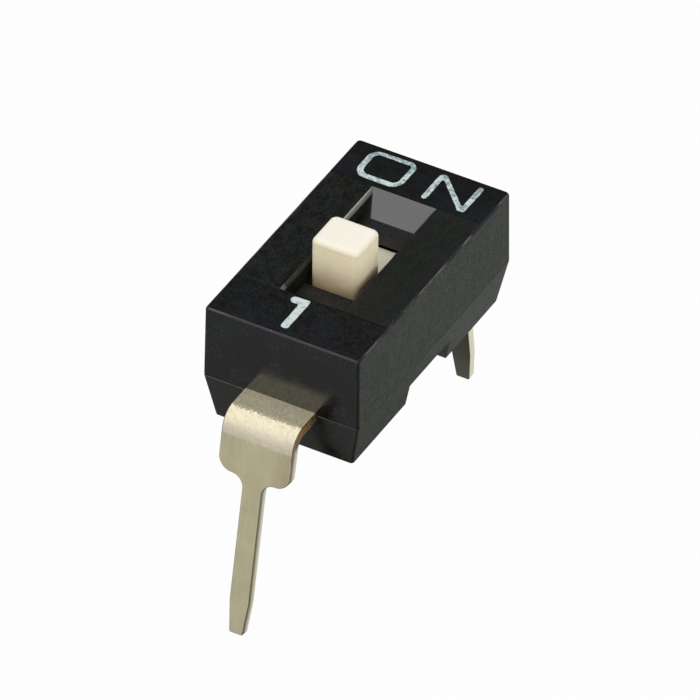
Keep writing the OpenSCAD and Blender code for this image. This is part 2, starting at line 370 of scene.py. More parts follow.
# %% [markdown]
# Many solids need only two rings, one at each end: a stretched outline, a box and a round bar. They
# could be Blender's own cubes and cylinders, but those start at the middle with a size of their own,
# while here every solid is given by the values it lies between, as on a drawing.

# %% Prisms, blocks and bars
def prism(name, outline, low, high, axis="Z", middle=(0, 0)):
    """An outline stretched along an axis: (x, y) along Z, (x, z) along Y or (y, z) along X."""
    place = {
        "Z": lambda u, v, w: (u + middle[0], v + middle[1], w),
        "Y": lambda u, v, w: (u, -w, v),
        "X": lambda u, v, w: (w, u, v),
    }[axis]
    return loft(name, [[place(u, v, w) for u, v in outline] for w in (low, high)])


def block(name, x, y, z):
    """A box between two values along each axis."""
    return prism(name, [(x[0], y[0]), (x[1], y[0]), (x[1], y[1]), (x[0], y[1])], *z)


def round_bar(name, radius, z, middle, sides=40):
    """An upright round bar between two heights."""
    turn = 2 * math.pi / sides
    ring = [(radius * math.cos(turn * i), radius * math.sin(turn * i)) for i in range(sides)]
    return prism(name, ring, *z, middle=middle)


print("a prism can stretch along Z, Y or X, a block lies between values, a bar stands upright")

# %% [markdown]
# Cutting is done with the exact Boolean solver, and every sharp edge is then softened with a bevel of
# about a hundredth of a millimetre. No moulded or stamped edge is perfectly sharp, and it is this
# thin bevel that catches the light and draws the bright lines along the edges of the real switch.

# %% Cut, join and soften
sharp_angle = math.radians(32)
moulded_edge_r = 0.014


def apply_modifiers(piece):
    """Makes what the modifiers show the piece's own mesh."""
    bpy.context.view_layer.update()
    view = bpy.context.evaluated_depsgraph_get()
    mesh = bpy.data.meshes.new_from_object(piece.evaluated_get(view))
    piece.modifiers.clear()
    piece.data = mesh


def combine(piece, tool, operation):
    """Cuts, joins or intersects a piece with a tool, which is then thrown away."""
    step = piece.modifiers.new(operation, "BOOLEAN")
    step.operation = operation
    step.solver = "EXACT"
    step.object = tool
    apply_modifiers(piece)
    bpy.data.objects.remove(tool)
    return piece


def cut(piece, *tools):
    """Takes each tool's shape away from the piece."""
    for tool in tools:
        combine(piece, tool, "DIFFERENCE")


def join(piece, *tools):
    """Grows each tool's shape into one solid with the piece."""
    for tool in tools:
        combine(piece, tool, "UNION")


def soften(piece, radius, segments=3):
    """Rounds every edge sharper than sharp_angle."""
    step = piece.modifiers.new("soften", "BEVEL")
    step.width = radius
    step.segments = segments
    step.limit_method = "ANGLE"
    step.angle_limit = sharp_angle
    step.miter_outer = "MITER_ARC"
    apply_modifiers(piece)


print("moulded edges get a radius of", moulded_edge_r, "mm")

# %% [markdown]
# A finished piece then stands for its exact solid. Weighted normals keep its large faces flat while
# the bevels shade as smooth curves. They compare face areas, so they are worked out in millimetres
# too, before the piece shrinks to metres. A closed solid has no open edges, so those are counted.

# %% Hand over
def hand_over(piece, body, node, finishes, choose=None):
    """Gives a piece its finishes, brings it to metres and lets it stand for its CAD node."""
    for face in piece.data.polygons:
        face.use_smooth = True
    piece.modifiers.new("keep flats flat", "WEIGHTED_NORMAL")
    apply_modifiers(piece)
    piece.data.materials.clear()
    for material in finishes:
        piece.data.materials.append(material)
    if choose:
        for face in piece.data.polygons:
            face.material_index = finishes.index(choose(face))
    piece.data.transform(Matrix.Scale(MM, 4))
    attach(piece, body)
    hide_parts(node)
    shape = bmesh.new()
    shape.from_mesh(piece.data)
    open_edges = sum(not edge.is_manifold for edge in shape.edges)
    volume = shape.calc_volume() / MM ** 3
    shape.free()
    print(f"{piece.name}: {len(piece.data.polygons)} faces, {volume:.3f} mm3, {open_edges} open edges")


print("a finished piece shrinks by", MM)

# %% [markdown]
# ## Black housing plastic
# Both halves are moulded in the same filled black plastic, and yet no two sides look alike, because
# the mould was finished differently: the long sides have a fine spark-eroded grain, the ends are
# polished and mirror the terminals, the rails beside the slot are satin, the two printed bands are
# darker and a little blotchy, and the ramps in the slot are smooth. Use has left its marks too. The
# left rail is scuffed and the rounded edges are worn shiny. The chamfer on the left of the slot is
# grey, and paler at its far half and near end, partly from rubbing and partly as painted highlight.
# The step where the near band begins on the left is painted the same. The shelves down in the slot
# are dull and a paler grey-brown. The groove under the base is painted pale, as painted light that
# lifts the shade there. The upright corners take the darkest band finish, as a painted shade line.
# Black plastic is never quite neutral, so faint bluish clouds run through it. One material with a
# mask for each side would work, but a recipe that is called once for each finish is easier to read.

# %% Housing plastic
cloud_tint, dust_tint, rub_and_highlight_tint = colour(26, 31, 42), colour(105, 106, 100), colour(128, 126, 117)


def housing_plastic(
        name, dark, light, gloss, shine, grain, blotch=0.2, dust=0.3, patchy=0.0,
        rub_and_highlight=0.0, haze=0.3, drawn=1.0):
    """Black plastic, mottled between a dark and a light tint.

    gloss: its roughness; shine: its specular level; grain and blotch: how deep these are;
    dust: how much lies on it; patchy: how unevenly it shines; rub: how much paler the far half and
    the near end are painted, partly as wear and partly as painted highlight;
    haze: how blue its clouds are; drawn: below 1, its blotches are drawn out along the slide.
    """
    finish = Finish(name)
    point = finish.millimetres()
    fine = finish.speckle(point, 24, 3, 0.6)
    blotches = finish.speckle(finish.stretched(point, (1, drawn, 1)), 6, 4, 0.65)
    clouds = finish.speckle(point, 1.3, 2)
    in_clouds = clouds.between(0.4, 0.6)
    specks = finish.speckle(point, 19, 1).between(0.68, 0.74) * in_clouds
    mottle = 0.42 * blotches + 0.58 * fine
    tint = finish.mix(mottle.between(0.43, 0.57), colour(*dark), colour(*light))
    tint = finish.mix(clouds.between(0.42, 0.68) * haze, tint, cloud_tint)
    tint = finish.mix(specks * dust, tint, dust_tint)
    # Partly wear, partly painted highlight: the far half and the near end are painted paler.
    if rub_and_highlight:
        along = finish.parts(point)[1]
        rub_and_highlight_at = along.between(-0.6, 0.4) + (1 - along.between(-1.72, -1.60))
        tint = finish.mix(rub_and_highlight_at * rub_and_highlight, tint, rub_and_highlight_tint)
    return finish.done(
        Base_Color=tint, Specular_IOR_Level=shine,
        Roughness=gloss + 0.12 * (blotches - 0.5) + 0.08 * (fine - 0.5) + patchy * in_clouds,
        Normal=finish.bump(fine * grain + blotches * blotch, 0.006))


satin = housing_plastic(
    "satin rail plastic", (13, 17, 13), (25, 28, 24), gloss=0.42, shine=0.15, grain=0.3, blotch=0.5,
    dust=0.12, haze=0.12, drawn=0.45)
scuffed = housing_plastic(
    "scuffed rail plastic", (0, 2, 0), (28, 31, 27), gloss=0.42, shine=0.12, grain=0.3, blotch=0.5,
    dust=0.12, haze=0.12, drawn=0.45)
# The blotchy band finish also paints a shade line down the upright corners.
band_and_corner_shade = housing_plastic(
    "blotchy band plastic and painted corner shade", (4, 5, 5), (18, 19, 18), gloss=0.44, shine=0.10, grain=0.5, blotch=0.9,
    dust=0.12)
numbered = housing_plastic(
    "greyer band plastic", (2, 3, 3), (26, 27, 27), gloss=0.44, shine=0.09, grain=0.5, blotch=0.9,
    dust=0.12)
grained = housing_plastic(
    "grained side plastic", (28, 33, 25), (55, 60, 49), gloss=0.55, shine=0.115, grain=1.8)
polished = housing_plastic(
    "polished end plastic", (1, 2, 2), (13, 15, 14), gloss=0.12, shine=0.48, grain=0.10, blotch=0.22,
    patchy=0.10)

# %% [markdown]
# The smaller places come from the same recipe: the groove under the base, painted pale as painted
# light, the ramps, the worn and chipped edges, the rubbed chamfer with its painted highlight, and the
# shelves down in the slot.

# %% Finishes for small places
# The groove is painted pale: painted light that lifts the shade under the base.
groove = housing_plastic(
    "groove plastic painted pale as light", (62, 66, 58), (92, 97, 86), gloss=0.6, shine=0.4, grain=1.2)
smooth = housing_plastic(
    "smooth ramp plastic", (22, 26, 23), (28, 32, 29), gloss=0.13, shine=0.66, grain=0.05,
    blotch=0.05, dust=0.1)
worn = housing_plastic(
    "worn edge plastic", (18, 15, 12), (33, 27, 23), gloss=0.22, shine=0.44, grain=0.15, blotch=0.3,
    patchy=0.25)
chipped = housing_plastic(
    "chipped edge plastic", (12, 13, 12), (20, 21, 20), gloss=0.30, shine=0.25, grain=0.4,
    blotch=0.6, patchy=0.45)
# The chamfer finish is painted grey, partly as wear and partly as painted highlight.
rubbed_and_highlight = housing_plastic(
    "rubbed and highlight-painted chamfer plastic", (38, 38, 31), (56, 56, 47), gloss=0.3, shine=0.4, grain=0.2,
    blotch=0.3, rub_and_highlight=0.7)
shelf = housing_plastic(
    "dull shelf plastic", (28, 26, 25), (42, 38, 36), gloss=0.5, shine=0.2, grain=0.4, blotch=0.6)
housing_finishes = [
    satin, scuffed, band_and_corner_shade, numbered, grained, groove, polished, smooth, worn, chipped, rubbed_and_highlight, shelf]

# %% [markdown]
# Every face of the housing now picks its finish. The choice could be painted by hand, face by face,
# but the plan of the mould decides it just as well: where the face lies, and which way it looks.

# %% Which finish goes where
# All in millimetres, a little inside or outside the edge that they stand for.
band_y = 1.82  # where the satin rails end and the printed bands begin
ramp_start_y, shelves_end_y, groove_end_y, near_end_y = 1.3, 1.4, 0.9, 2.85
shelf_half_w, ramp_half_w, rail_x, side_x, outer_edge_x = 0.62, 0.7, 0.6, 1.45, 1.5
groove_top_z, parting_low_z, shelf_low_z = 0.5, 0.98, 2.05
ramp_low_z, band_low_z, rail_low_z = 2.3, 2.5, 2.6


def finish_for(face):
    """Which housing finish a face takes, from where it lies and which way it looks."""
    x, y, z = (abs(v) for v in face.center)
    on_left, on_near_half = face.center.x < 0, face.center.y < 0
    across, along, upward = abs(face.normal.x), abs(face.normal.y), face.normal.z
    flat_top = upward > 0.9
    in_ramp = x < ramp_half_w and ramp_start_y < y < band_y and z > ramp_low_z
    if in_ramp and 0.5 < upward < 0.9 and across < 0.3:
        return smooth
    # The near-left band step and the left edges take the chamfer finish, with its painted highlight.
    at_band_step = x > ramp_half_w and abs(y - band_y) < 0.03 and z > rail_low_z
    if at_band_step and on_left and face.normal.y < -0.2:
        return rubbed_and_highlight
    if upward > 0.3 and max(across, along, upward) < 0.93 and z > parting_low_z:
        if across < along:
            return worn
        return chipped if x > outer_edge_x else rubbed_and_highlight if on_left else worn
    in_slot = x < shelf_half_w and y < shelves_end_y and z > shelf_low_z
    if in_slot and (flat_top or along > 0.9):
        return shelf if flat_top else worn
    # Upright corners take the darkest band finish, as a painted shade line down each corner.
    if across > 0.3 and along > 0.3:
        return band_and_corner_shade
    # The groove under the base takes its pale finish, which is painted light.
    if y < groove_end_y and z < groove_top_z and across < 0.5:
        return groove
    if x > side_x and across > 0.5:
        return grained
    if y > near_end_y and along > 0.8:
        return polished
    if flat_top and y > band_y and z > band_low_z:
        return numbered if on_near_half else band_and_corner_shade
    if flat_top and z > rail_low_z and on_left and x > rail_x:
        return scuffed
    return satin


print(len(housing_finishes), "finishes for the housing")

# %% [markdown]
# ## The cover
# The cover is the upper half of the housing. It could be one subdivided cage, but every wall of it
# is a straight cut in a plain shell, which is also how its mould is made. So the shell is lofted
# first, with its lean and its rounded top edge, and then the slot, the opening, the cavity and the
# two notches for the terminals are cut out of it.

# %% Cover shell
cover_low, cover_high = (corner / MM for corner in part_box("cover"))
body_w = cover_high.x - cover_low.x
body_l = cover_high.y - cover_low.y
top_z = cover_high.z
parting_z = 1.02
corner_r = 0.07
top_edge_r = 0.08
cover_lean = 0.02


def shell_ring(z, side_inset, end_inset):
    """The housing's outline at one height."""
    outline = outline_of_block(body_w - 2 * side_inset, body_l - 2 * end_inset, corner_r)
    return [(u, v, z) for u, v in outline]


def quarter_turn(steps):
    """Angles from level to upright, for a rounded edge."""
    return [math.pi / 2 * step / steps for step in range(steps + 1)]


cover_rings = [shell_ring(parting_z, 0, 0)]
for angle in quarter_turn(6):
    inset = cover_lean + top_edge_r * (1 - math.cos(angle))
    cover_rings.append(shell_ring(top_z - top_edge_r * (1 - math.sin(angle)), inset, inset))
cover = loft("cover_moulding", cover_rings)
print("housing is", round(body_w, 2), "by", round(body_l, 2), "mm, top at", round(top_z, 2))

# %% [markdown]
# The slot is the place where two stretched outlines overlap: one seen along the slide direction, with
# leaning walls and a chamfer at the rim, and one seen from the side, with a ramp at each end.

# %% Slot, opening and cavity
shelf_top_z, shelf_under_z = 2.28, 2.05
opening_half_l, shelves_half_l, slot_half_l = 1.00, 1.37, 1.82
floor_half_w, rim_half_w, chamfer_w, chamfer_h = 0.62, 0.65, 0.06, 0.08
cavity_half_w, cavity_half_l = 1.0, 2.09
lead_half_w, lead_top_z, notch_gap = 0.785, 1.06, 0.02
over = 0.2  # how far a cutting shape passes the face that it cuts
through = 2.0  # half the width of a cutting shape that passes right across the housing
past_end_y = body_l / 2 + over

wall = [(floor_half_w, shelf_top_z), (rim_half_w, top_z - chamfer_h),
        (rim_half_w + chamfer_w, top_z), (rim_half_w + chamfer_w, top_z + over)]
ramp = [(shelves_half_l, shelf_top_z), (slot_half_l, top_z), (slot_half_l, top_z + over)]


def mirrored(half_outline):
    """An outline from its right half, by adding the left half in reverse."""
    return half_outline + [(-u, v) for u, v in reversed(half_outline)]


def both_ways(half):
    """The span from minus a half to plus that half."""
    return -half, half


slot_tool = prism("slot_tool", mirrored(wall), -through, through, "Y")
combine(slot_tool, prism("ramp_tool", mirrored(ramp), -through, through, "X"), "INTERSECT")
cut(cover,
    slot_tool,
    block("opening", both_ways(floor_half_w), both_ways(opening_half_l), (parting_z, top_z)),
    block("cavity", both_ways(cavity_half_w), both_ways(cavity_half_l), (parting_z - over, shelf_under_z)),
    block("notches", both_ways(lead_half_w + notch_gap), both_ways(past_end_y),
          (parting_z - over, lead_top_z)))
print("the cover has", len(cover.data.polygons), "faces after its cuts")

# %% [markdown]
# The rails beside the slot stand a hundredth of a millimetre above the two printed bands, which
# leaves the faint line where the satin plastic ends. Four pegs under the cover hold it on the base.

# %% Bands, pegs and edges
band_step = 0.012
for side in (-1, 1):
    ends = sorted((side * band_y, side * past_end_y))
    cut(cover, block("band", both_ways(through), ends, (top_z - band_step, top_z + over)))

peg_x, peg_y, peg_r, peg_low_z = 1.31, 2.63, 0.14, 0.66
sunk = 0.05  # how far a joined shape reaches into the one it joins
peg_places = [(x, y) for x in both_ways(peg_x) for y in both_ways(peg_y)]
join(cover, *[round_bar("peg", peg_r, (peg_low_z, parting_z + sunk), place) for place in peg_places])
soften(cover, moulded_edge_r)
hand_over(cover, "housing", "cover", housing_finishes, finish_for)

# %% [markdown]
# ## The base
# The base is the lower half, which narrows towards the board and is moulded round the level part of
# both terminals. It is lofted and cut like the cover. Two shallow ejector marks are pressed into the
# underside, as any mould leaves them.

# %% Base
side_lean, end_lean = 0.19, 0.14
rim_drop = 0.03  # the chamfer that makes the fine line along the parting
floor_low_z, floor_gap = 0.51, 0.02
groove_half_l, groove_h = 0.8, 0.49
pad_half_w, off_pad_y, on_pad_y, lead_t = 0.6, 0.0, 0.7, 0.22
peg_gap = 0.02
ejector_r, ejector_y, ejector_depth = 0.3, 1.85, 0.02

base = loft("base_moulding", [
    shell_ring(0, side_lean, end_lean), shell_ring(parting_z - rim_drop, 0, 0),
    shell_ring(parting_z, rim_drop / 3, rim_drop)])
raised_floor = block(
    "raised_floor", both_ways(cavity_half_w - floor_gap), both_ways(cavity_half_l - floor_gap),
    (floor_low_z, lead_top_z))
join(base, raised_floor)
pocket_z = (lead_top_z - lead_t, lead_top_z + over)
cut(base,
    block("groove", both_ways(through), both_ways(groove_half_l), (-over, groove_h)),
    block("off_pad_pocket", both_ways(pad_half_w), (-cavity_half_l, -off_pad_y), pocket_z),
    block("on_pad_pocket", both_ways(pad_half_w), (on_pad_y, cavity_half_l), pocket_z),
    block("off_pocket", both_ways(lead_half_w), (-past_end_y, -cavity_half_l), pocket_z),
    block("on_pocket", both_ways(lead_half_w), (cavity_half_l, past_end_y), pocket_z),
    *[round_bar("peg_hole", peg_r + peg_gap, (peg_low_z - peg_gap, lead_top_z + over), place)
      for place in peg_places],
    *[round_bar("ejector_mark", ejector_r, (-over, ejector_depth), (0, y), 64)
      for y in both_ways(ejector_y)])
soften(base, moulded_edge_r)
hand_over(base, "housing", "base", housing_finishes, finish_for)

# %% [markdown]
# ## Tin-plated terminals
# The strip is a copper alloy with a thin warm coat of tin. Matt tin is not a pure mirror: it scatters
# much of the light like paint, so it is only partly metallic. The level part keeps its gloss. The
# bend stretched the plating, which sparkles there. Its paler tint round the bend, down to the line
# where the straight leg begins, is partly painted highlight. The leg is painted darker towards its +X
# side and on its face towards the base, as painted shade. The edges were sheared after plating. A
# thin dark burr follows them, the half of the edge that the punch rubbed is brown, and the half that
# broke away clean is pale. Round the bend the whole edge is brown.

# %% Plated metal
bend_inner_r, bend_start_y = 0.215, 3.495
bend_centre_z = lead_top_z - lead_t - bend_inner_r
off_splay, on_splay = 11, 8.4  # how far each leg spreads, in degrees


def plated_metal():
    """Tin plating, with the marks of cutting and bending in their places."""
    finish = Finish("warm tin plating")
    point = finish.millimetres()
    x, y, z = finish.parts(point)
    face_x, face_y, _ = finish.parts(finish.node("NewGeometry", output="Normal"))

    # Places: the straight leg, its sheared edges and their burr, the bend, and the side towards the base,
    # which gets painted shade.
    on_leg = 1 - z.between(0.4, 0.6)
    tilt = abs(face_x) * (1 - on_leg) + (1 - abs(face_y)) * on_leg
    sheared = tilt.between(0.75, 0.92)
    burr = tilt.between(0.12, 0.35)
    at_bend = z.between(0.60, 0.78)
    bent = 1 - z.between(1.03, 1.058)
    inner = (face_y * y * -1.0).between(1.2, 2.6) * (1 - z.between(0.3, 0.7))

    # Patterns: fine grain, soft clouds, streaks along the strip, and the stretched plating.
    grain = finish.speckle(point, 15, 3, 0.65)
    cloudy = finish.speckle(point, 2.2, 3)
    streaks = finish.speckle(finish.stretched(point, (9, 1.2, 1.2)), 1.5, 3)
    ripples = finish.speckle(finish.stretched(point, (3, 1, 1)), 5, 3, 0.6)
    strained = z.between(0.35, 0.6) * (ripples - 0.5)

    # The two wide faces, from the leg up to the level part, with painted shade towards +X and a partly
    # painted highlight round the bend.
    leg = finish.mix(cloudy.between(0.3, 0.7), colour(195, 187, 154), colour(184, 177, 145))
    leg = finish.mix(streaks.between(0.45, 0.7) * 0.35, leg, colour(200, 193, 164))
    # Painted shade: the leg darkens towards its +X side.
    leg = finish.mix(x.between(0.25, 0.75) * 0.6, leg, colour(168, 156, 124))
    # Partly painted highlight: the strip turns paler from about z 0.6 up round the bend.
    leg = finish.mix(z.between(0.58, 0.68) * 0.6, leg, colour(230, 219, 201))
    level = finish.mix(grain.between(0.3, 0.6), colour(213, 204, 172), colour(239, 229, 195))
    tint = finish.mix((z + 0.2 * cloudy).between(0.9, 1.25), leg, level)
    # Painted shade on the face of the leg that looks towards the base.
    tint = finish.mix(inner, tint, colour(60, 57, 40))

    # The sheared edges. The depth is measured outwards from the middle of the bend, square to the leg.
    splay = math.radians(off_splay)
    depth = (abs(y) - bend_start_y) * math.cos(splay) + (z - bend_centre_z) * math.sin(splay)
    edge = finish.mix(depth.between(0.28, 0.40) * 0.85, colour(226, 222, 196), colour(104, 84, 60))
    stained = (0.5 * cloudy + 0.5 * grain).between(0.43, 0.57)
    brown = finish.mix(stained, colour(50, 36, 20), colour(140, 108, 62))
    edge = finish.mix(at_bend, edge, brown)
    tint = finish.mix(burr * 0.9, tint, colour(70, 60, 42))
    tint = finish.mix(sheared, tint, edge)

    relief = grain * (0.25 + 0.55 * bent) + streaks * 0.3 + strained * 3.0
    return finish.done(
        Base_Color=tint, Metallic=0.62 - 0.38 * bent,
        Roughness=0.17 + 0.31 * bent + 0.12 * (grain - 0.5) + 0.10 * (cloudy - 0.5),
        Normal=finish.bump(relief, 0.008))


tin = plated_metal()

# %% [markdown]
# A terminal is stamped flat and then bent, and the mesh is made the same way. First comes the flat
# blank: an outline from the pad to the tip, with round shoulders down to the pin, given its
# thickness and its softened edges. Then it is sliced across where it has to bend, and every point is
# carried round the bend. Modelling the bent shape directly would leave uneven edges round the curve.

# %% Flat blank
pin_half_w, tip_half_w = 0.2125, 0.145
shank_l, shoulder_r, root_r, tip_l, leg_l = 0.89, 0.31, 0.26, 0.71, 4.34
bend_middle_r = bend_inner_r + lead_t / 2


def blank_outline(pad_y, bend_l):
    """The stamped outline as (x, distance along the strip), counter-clockwise from the pad's left."""
    step_at = cavity_half_l - pad_y
    leg_at = bend_start_y - pad_y + bend_l
    shank_at = leg_at + shank_l
    edge = [(pad_half_w, 0), (pad_half_w, step_at), (lead_half_w, step_at)]
    edge += [(lead_half_w - shoulder_r * (1 - math.cos(angle)), shank_at - shoulder_r * (1 - math.sin(angle)))
             for angle in quarter_turn(12)]
    edge += [(pin_half_w + root_r * (1 - math.sin(angle)), shank_at + root_r * (1 - math.cos(angle)))
             for angle in quarter_turn(12)[1:]]
    edge += [(pin_half_w, leg_at + leg_l - tip_l), (tip_half_w, leg_at + leg_l)]
    return mirrored(edge)


print("a blank has", len(blank_outline(0, 0.45)), "corners")

# %% [markdown]
# A flat face can only bend where it has edges to bend along. Subdividing the whole strip would do,
# but it would cut the long straight leg for nothing, so only the bend is sliced.

# %% Slice a piece across
merge_distance = 1e-5


def slice_across(piece, places):
    """Adds a row of edges across the piece at each height, so that it can bend there."""
    shape = bmesh.new()
    shape.from_mesh(piece.data)
    for place in places:
        bmesh.ops.bisect_plane(
            shape, geom=[*shape.verts, *shape.edges, *shape.faces],
            plane_co=(0, 0, place), plane_no=(0, 0, 1), dist=merge_distance)
    shape.to_mesh(piece.data)
    shape.free()
    print(piece.name, "is sliced at", len(places), "places")

# %% [markdown]
# Bending keeps the middle of the strip at its flat length, while its outside stretches and its
# inside shrinks. So each point is placed by how far along the strip it lies: before the bend, round
# it, or after it on the straight leg.

# %% Bend the blank into a terminal
sheared_edge_r = 0.028
bend_slices = 24


def terminal(name, node, pad_y, splay, side):
    """A stamped and bent terminal towards +Y or -Y, with its leg spread by splay degrees."""
    turn = math.radians(90 - splay)
    bend_l = bend_middle_r * turn
    level_l = bend_start_y - pad_y
    outline = blank_outline(pad_y, bend_l)
    strip = loft(name, [[(x, height, along) for x, along in outline] for height in (lead_t / 2, -lead_t / 2)])
    soften(strip, sheared_edge_r, segments=4)
    slice_across(strip, [level_l + bend_l * i / bend_slices for i in range(bend_slices + 1)])
    for vertex in strip.data.vertices:
        x, height, along = vertex.co
        angle = min(max((along - level_l) / bend_middle_r, 0), turn)
        before = min(along, level_l) + pad_y
        after = max(along - level_l - bend_l, 0)
        reach = bend_middle_r + height
        y = before + reach * math.sin(angle) + after * math.cos(angle)
        z = bend_centre_z + reach * math.cos(angle) - after * math.sin(angle)
        vertex.co = (x, side * y, z)
    if side > 0:
        strip.data.flip_normals()
    hand_over(strip, "housing", node, [tin])


terminal("off_terminal_strip", "off_terminal", off_pad_y, off_splay, side=-1)
terminal("on_terminal_strip", "on_terminal", on_pad_y, on_splay, side=1)

# %% [markdown]
# ## Ivory slider
# The slider is an ivory moulding. Light enters such a plastic a little way and comes out again,
# which softens its corners and keeps its shaded sides warm, so it gets a short, warm subsurface.
# The top of the knob is a whiter ivory. Its rounded top edge is painted a shade deeper, as painted
# shade that keeps a highlight off it, and its foot, down in the slot, is painted a deeper ivory still,
# as painted shade.

# %% Ivory plastic
def ivory_plastic():
    """Ivory plastic, with painted shade deepening towards the knob's foot and on its rounded top edge, and a
    whiter top.
    """
    finish = Finish("ivory plastic")
    point = finish.millimetres()
    fine = finish.speckle(point, 16, 3)
    clouds = finish.speckle(point, 2.5, 2)
    height = finish.parts(point)[2]
    uneven = height + 0.3 * (clouds - 0.5)
    painted_shade_foot, face = colour(158, 136, 101), colour(250, 238, 207)
    painted_shade_edge, whiter_top, plate = colour(233, 224, 203), colour(240, 234, 221), colour(234, 229, 203)
    # Painted shade: darker towards the foot of the knob and on its rounded top edge. The top is whiter.
    tint = finish.mix(uneven.between(2.12, 3.12), painted_shade_foot, face)
    tint = finish.mix(height.between(3.22, 3.33), tint, painted_shade_edge)
    tint = finish.mix(height.between(3.37, 3.40), tint, whiter_top)
    tint = finish.mix(height.between(2.0, 2.05), plate, tint)
    return finish.done(
        Base_Color=tint, Specular_IOR_Level=0.3, Roughness=0.50 + 0.14 * (fine - 0.5),
        Normal=finish.bump(fine, 0.002), Subsurface_Weight=0.55,
        Subsurface_Radius=(1.0, 0.75, 0.45), Subsurface_Scale=0.00035, IOR=1.5)


ivory = ivory_plastic()

# %% [markdown]
# The knob is a rounded block that stands on a plate, with two runners and a spring post below. Each
# is a simple solid and they are joined into one, because the real slider is one moulding.

# %% Slider
slider_low, slider_high = (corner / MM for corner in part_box("slider"))
off_y = (slider_low.y + slider_high.y) / 2
plate_z, plate_top_z = 1.73, 1.99
knob_w, knob_l, knob_edge_r, knob_corner_r = 1.04, 0.92, 0.11, 0.13
runner_inner_x, runner_half_l, runner_low_z = 0.77, 1.1, 1.09
post_r, post_low_z = 0.14, 1.57


def knob_ring(z, inset):
    """The knob's outline at one height."""
    outline = outline_of_block(knob_w - 2 * inset, knob_l - 2 * inset, knob_corner_r - inset / 2)
    return [(u, v + off_y, z) for u, v in outline]


slider = loft("ivory_slider", [knob_ring(plate_z + sunk, 0)] + [
    knob_ring(slider_high.z - knob_edge_r * (1 - math.sin(angle)), knob_edge_r * (1 - math.cos(angle)))
    for angle in quarter_turn(8)])
plate_y = (slider_low.y, slider_high.y)
runner_y = (off_y - runner_half_l, off_y + runner_half_l)
join(slider, block("plate", (slider_low.x, slider_high.x), plate_y, (plate_z, plate_top_z)))
for side in (-1, 1):
    runner_x = sorted((side * runner_inner_x, side * slider_high.x))
    join(slider, block("runner", runner_x, runner_y, (runner_low_z, plate_z + sunk)))
join(slider, round_bar("spring_post", post_r, (post_low_z, plate_z + sunk), (0, off_y)))
soften(slider, moulded_edge_r)
hand_over(slider, "actuator", "slider", [ivory])

# %% [markdown]
# ## Contact spring
# The spring strip is hidden under the slider, where it joins the two terminals. Its CAD shape is
# already right, so that node stays and only gets its finish: bright plated brass.

# %% Spring finish
def spring_metal():
    finish = Finish("plated brass spring")
    point = finish.millimetres()
    lines = finish.speckle(finish.stretched(point, (8, 1, 1)), 4, 3)
    tint = finish.mix(lines.between(0.4, 0.6), colour(226, 190, 116), colour(208, 168, 92))
    return finish.done(
        Base_Color=tint, Metallic=1.0, Roughness=0.28 + 0.12 * lines, Normal=finish.bump(lines, 0.002))


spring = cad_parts["contact_spring"]
spring.data.materials.clear()
spring.data.materials.append(spring_metal())

# %% [markdown]
# ## Pale print
# The print is a thin layer of pale ink pressed on by a pad. It could be painted in the plastic's
# material, but real ink has a thickness and a soft rim, so each mark is a very thin solid with wavy
# edges and rounded stroke ends. The ink covers unevenly, with small darker flecks, and it is thinnest
# on the far side of the letters.

# %% Ink
def pale_ink(name, thin):
    """Ink that covers well where thin is near 0 and lets the plastic through near 1."""
    finish = Finish(name)
    point = finish.millimetres()
    fine = finish.speckle(point, 14, 3)
    far_side = finish.parts(point)[1].between(2.2, 2.9)
    flecks = finish.speckle(point, 11, 3, 0.6) + 0.10 * far_side
    flecks = flecks.between(0.62 - 0.20 * thin, 0.70 - 0.06 * thin)
    full_ink, thin_spot = colour(198, 211, 208), colour(102, 128, 134)
    tint = finish.mix(flecks * (0.4 + 0.45 * thin), full_ink, thin_spot)
    return finish.done(
        Base_Color=tint, Roughness=0.5 + 0.2 * (fine - 0.5), Normal=finish.bump(fine, 0.004))


ink = pale_ink("pale ink", 0.5)
thin_ink = pale_ink("thin pale ink", 1.0)

# %% [markdown]
# The marks are drawn as plain corner points. A font could draw them, but its corners would be those
# of a font, and a pad printer's are rounder and a little different each time. So every corner gets
# an arc of its own radius, and the edge then wanders by a hundredth of a millimetre. Blender's noise
# starts somewhere else on every run unless it gets a seed, so it gets one.

# %% Outlines with rounded corners
arc_steps, step_l = 6, 0.05
noise.seed_set(3)  # the same waves on every run


def rounded(points, radii):
    """A closed outline with an arc of its own radius at each corner, cut into short steps."""
    outline = []
    for i, (corner, radius) in enumerate(zip(points, radii)):
        corner = Vector(corner)
        before = (Vector(points[i - 1]) - corner).normalized()
        after = (Vector(points[(i + 1) % len(points)]) - corner).normalized()
        half_angle = before.angle(after) / 2
        reach = radius / math.tan(half_angle)
        start, end = corner + before * reach, corner + after * reach
        centre = corner + (before + after).normalized() * (radius / math.sin(half_angle))
        for step in range(arc_steps + 1):
            spoke = start.lerp(end, step / arc_steps) - centre
            outline.append(centre + spoke.normalized() * radius)
    steps = []
    for i, start in enumerate(outline):
        end = outline[(i + 1) % len(outline)]
        pieces = max(1, round((end - start).length / step_l))
        steps += [start.lerp(end, n / pieces) for n in range(pieces)]
    return steps


def wavy(outline, amount=0.010, waves_per_mm=7):
    """The outline with the small unevenness of an ink edge."""
    moved = []
    for point in outline:
        away = noise.noise_vector((point.x * waves_per_mm, point.y * waves_per_mm, 3.1)) * amount
        moved.append(point + Vector((away.x, away.y)))
    return moved


def shrunk(outline, amount):
    """The outline moved inwards, to the left of its direction."""
    inner = []
    for i, point in enumerate(outline):
        along = (outline[(i + 1) % len(outline)] - outline[i - 1]).normalized()
        inner.append(point + Vector((-along.y, along.x)) * amount)
    return inner


print("a unit square becomes", len(rounded([(0, 0), (1, 0), (1, 1), (0, 1)], [0.1] * 4)), "points")

